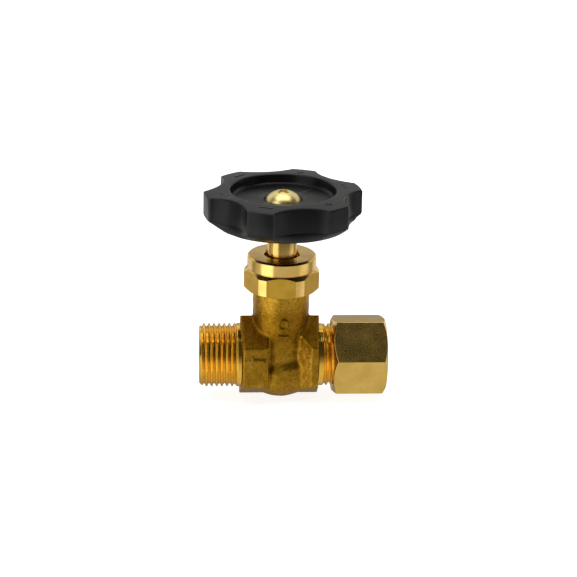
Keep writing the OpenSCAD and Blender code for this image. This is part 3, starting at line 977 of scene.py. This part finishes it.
def make_floor():
    """A plain pale floor just under the valve's foot."""
    mesh = bpy.data.meshes.new("floor")
    size = 4.0
    z = cad_box[0][2] - 0.2 * MM
    mesh.from_pydata([(-size, -size, z), (size, -size, z), (size, size, z), (-size, size, z)], [], [(0, 1, 2, 3)])
    floor = bpy.data.objects.new("floor", mesh)
    bpy.context.scene.collection.objects.link(floor)
    n = Nodes("floor")
    dust = n.noise(6, 3, 0.5)
    colour = n.ramp(dust, [(0.3, (0.40, 0.40, 0.398)), (0.7, (0.43, 0.43, 0.428))])
    n.finish(colour, 0.9, None, Emission_Color=(1, 1, 1, 1), Emission_Strength=0.86)
    floor.data.materials.append(n.material)
    floor.visible_glossy = False


# Brightness of the room by the angle above the front horizon, in degrees: negative is the floor
ROOM = [
    (-180, 0.36), (-140, 0.32), (-90, 0.62), (-58, 0.70), (-20, 0.62), (0, 0.25), (18, 0.06), (60, 0.04), (108, 0.04),
    (126, 0.50), (142, 0.85), (162, 0.50), (180, 0.36),
]


def make_world():
    """White to the camera. To the object, a room by direction, with soft boxes and panels."""
    world = bpy.data.worlds.new("world")
    world.use_nodes = True
    bpy.context.scene.world = world
    tree = world.node_tree
    tree.nodes.clear()

    def add(kind, **settings):
        node = tree.nodes.new(kind)
        for key, value in settings.items():
            setattr(node, key, value)
        return node

    def calc(operation, a, b=0.0):
        node = add("ShaderNodeMath", operation=operation)
        for socket, value in zip(node.inputs, (a, b)):
            if isinstance(value, (int, float)):
                socket.default_value = value
            else:
                tree.links.new(value, socket)
        return node.outputs[0]

    def step_up(value, low, high):
        node = add("ShaderNodeMapRange", interpolation_type="SMOOTHSTEP")
        node.inputs["From Min"].default_value = low
        node.inputs["From Max"].default_value = high
        tree.links.new(value, node.inputs["Value"])
        return node.outputs["Result"]

    def window(value, low, high, soft):
        """One between low and high, nought outside, with soft edges."""
        rise = step_up(value, low, low + soft)
        return calc("MULTIPLY", rise, calc("SUBTRACT", 1.0, step_up(value, high - soft, high)))

    split = add("ShaderNodeSeparateXYZ")
    tree.links.new(add("ShaderNodeTexCoord").outputs["Generated"], split.inputs[0])
    dx, dy, dz = split.outputs
    front = calc("MULTIPLY", dy, -1.0)
    # Tilt runs from the back floor (0), by straight down, the front and straight up, to the back wall (1)
    tilt = calc("ADD", calc("MULTIPLY", calc("ARCTAN2", dz, front), 1 / TAU), 0.5)
    room_level = add("ShaderNodeValToRGB")
    room_level.color_ramp.interpolation = "EASE"
    elements = room_level.color_ramp.elements
    stops = [(degrees / 360 + 0.5, level) for degrees, level in ROOM]
    while len(elements) < len(stops):
        elements.new(0.5)
    for element, (place, level) in zip(elements, stops):
        element.position = place
        element.color = (level, level, level, 1)
    tree.links.new(tilt, room_level.inputs["Fac"])
    # Soft boxes on the left, on the right and overhead, and a pair of panels at the back
    azimuth = calc("ARCTAN2", dx, front)
    left = calc("MULTIPLY", window(azimuth, -1.36, -0.52, 0.10), window(dz, -0.75, 0.9, 0.12))
    right = calc("MULTIPLY", window(azimuth, 0.95, 1.7, 0.15), window(dz, -0.6, 0.5, 0.2))
    above = calc("MULTIPLY", step_up(dy, -0.34, -0.22), window(dz, 0.82, 1.2, 0.08))
    panels = calc("MULTIPLY", window(calc("ABSOLUTE", dx), 0.28, 0.85, 0.08), window(dz, -0.5, 0.25, 0.1))
    panels = calc("MULTIPLY", panels, step_up(dy, 0.15, 0.3))
    total = room_level.outputs["Color"]
    for box, strength in ((left, 1.15), (right, 0.25), (above, 1.6), (panels, 0.5)):
        total = calc("ADD", total, calc("MULTIPLY", box, strength))
    room = add("ShaderNodeBackground")
    room.inputs["Color"].default_value = (1.0, 0.985, 0.96, 1)
    tree.links.new(total, room.inputs["Strength"])
    backdrop = add("ShaderNodeBackground")
    backdrop.inputs["Color"].default_value = (1, 1, 1, 1)
    backdrop.inputs["Strength"].default_value = 1.0
    mix = add("ShaderNodeMixShader")
    tree.links.new(add("ShaderNodeLightPath").outputs["Is Camera Ray"], mix.inputs[0])
    tree.links.new(room.outputs[0], mix.inputs[1])
    tree.links.new(backdrop.outputs[0], mix.inputs[2])
    tree.links.new(mix.outputs[0], add("ShaderNodeOutputWorld").inputs[0])


def make_lights():
    """A large soft lamp overhead, kept out of the reflections."""
    data = bpy.data.lights.new("overhead", "AREA")
    data.shape = "SQUARE"
    data.size = 1.0
    data.energy = 9
    light = bpy.data.objects.new("overhead", data)
    light.location = (0.0, 0.05, 0.9)
    aim = Vector((STEM_X * MM, 0, 0))
    light.rotation_euler = (aim - light.location).to_track_quat("-Z", "Y").to_euler()
    light.visible_camera = False
    light.visible_glossy = False
    bpy.context.scene.collection.objects.link(light)


def use_plain_colours():
    bpy.context.scene.view_settings.view_transform = "Standard"
    bpy.context.scene.view_settings.look = "None"


make_body()
make_coupling_nut()
make_packing_nut()
make_stem()
make_handwheel()
make_ribs()
make_rim_marks()
make_screw()
dress_cad_nodes()
make_floor()
make_world()
make_lights()
use_plain_colours()
